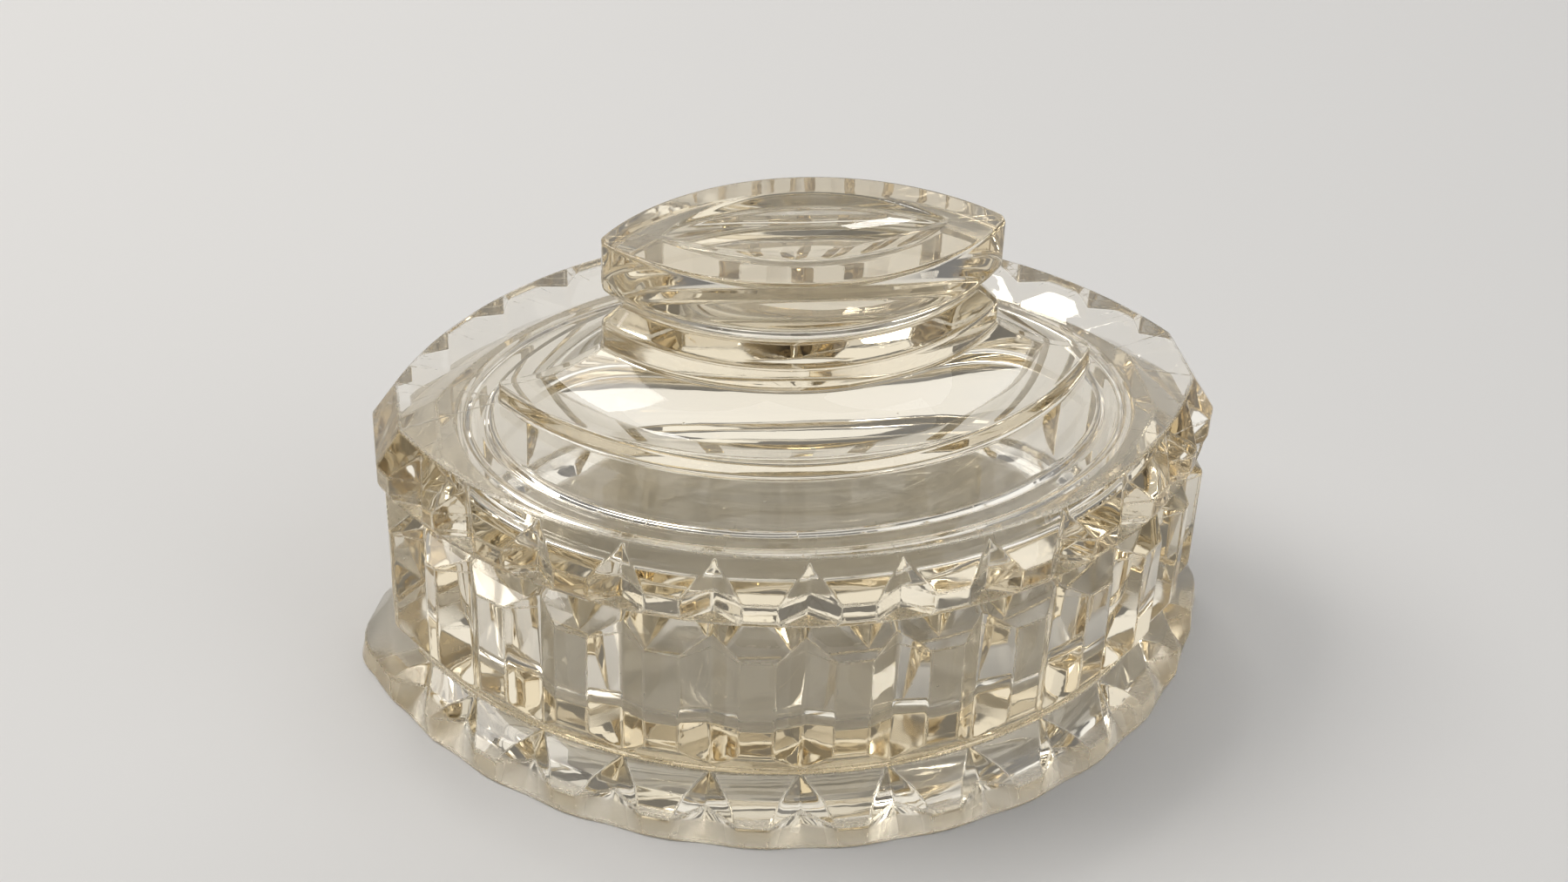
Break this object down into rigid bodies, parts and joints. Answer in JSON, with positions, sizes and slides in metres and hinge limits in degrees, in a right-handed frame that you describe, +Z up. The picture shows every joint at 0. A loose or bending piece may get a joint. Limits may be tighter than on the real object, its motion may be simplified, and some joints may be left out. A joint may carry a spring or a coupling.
{
  "type": "glass trinket box",
  "caption": "Lidded dresser box of clear cut glass: a pointed oval tray with upright V flutes and a flared, notched foot, and a lift-off lid with a two-tier handle.",
  "frame": {"origin": "under the middle of the base, on the surface that it stands on", "axes": "+X along the box's long axis, +Y from its front to its back, +Z up"},
  "size_m": [0.1488, 0.1164, 0.0791],
  "materials": {
    "base_glass": "clear with a faint straw tint, pressed and cut, fire polished",
    "lid_glass": "clear with a faint straw tint, pressed and cut, fire polished"
  },
  "bodies": {
    "base": {"box_base": "base_glass"},
    "lid": {"lid": "lid_glass"}
  },
  "joints": [
    {"name": "lid_lift", "type": "slide", "parent": "base", "child": "lid", "axis": [0, 0, 1], "range_m": [0, 0.06]}
  ]
}
